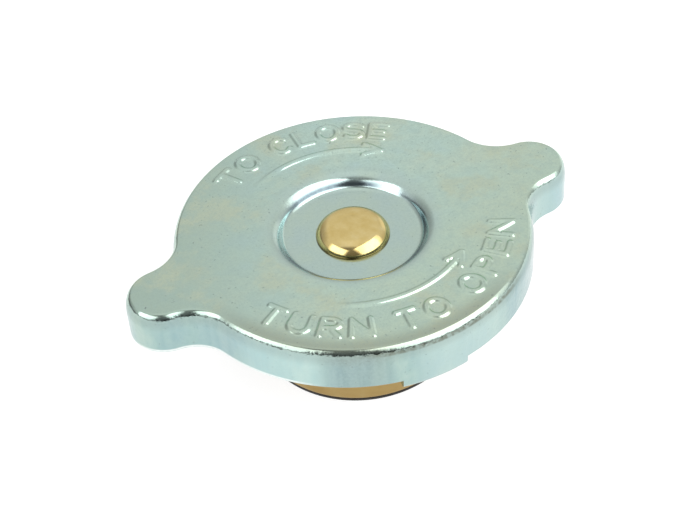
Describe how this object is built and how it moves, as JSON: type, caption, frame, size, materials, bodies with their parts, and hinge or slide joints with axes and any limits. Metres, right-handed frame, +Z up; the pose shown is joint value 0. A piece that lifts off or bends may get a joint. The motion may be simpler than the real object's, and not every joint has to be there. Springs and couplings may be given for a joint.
{
  "type": "radiator cap",
  "caption": "Round pressed-steel radiator cap with two finger ears, a riveted middle and a sprung brass pressure valve with a rubber seal, to close a bayonet filler neck.",
  "frame": {"origin": "centre of the valve seal's underside, on which the cap stands", "axes": "+Z up along the cap's axis, +X along the line through the two ears"},
  "size_m": [0.083, 0.0624, 0.0256],
  "materials": {
    "zinc": "bright zinc plate, satin",
    "brass": "dull brass",
    "rubber": "matt black",
    "spring_steel": "plain"
  },
  "bodies": {
    "core": {"rivet": "brass", "spring_disc": "spring_steel", "neck_seal": "rubber", "spring_seat": "spring_steel", "bell": "brass", "pressure_spring": "spring_steel"},
    "cover": {"cover": "zinc"},
    "pressure_valve": {"valve_cup": "brass", "valve_seal": "rubber", "valve_tube": "brass", "vacuum_spring": "spring_steel"},
    "vacuum_valve": {"vacuum_valve": "brass", "vacuum_seal": "rubber", "stem_keeper": "spring_steel"}
  },
  "joints": [
    {"name": "cover_turn", "type": "hinge", "parent": "core", "child": "cover", "pos_m": [0, 0, 0.02255], "axis": [0, 0, 1], "continuous": true},
    {"name": "pressure_lift", "type": "slide", "parent": "core", "child": "pressure_valve", "axis": [0, 0, 1], "range_m": [0, 0.005], "stiffness_N_per_m": 3080, "springref_m": -0.0008, "deforming": ["pressure_spring"]},
    {"name": "vacuum_open", "type": "slide", "parent": "pressure_valve", "child": "vacuum_valve", "axis": [0, 0, -1], "range_m": [0, 0.0014], "stiffness_N_per_m": 60, "springref_m": -0.002, "deforming": ["vacuum_spring"]}
  ]
}
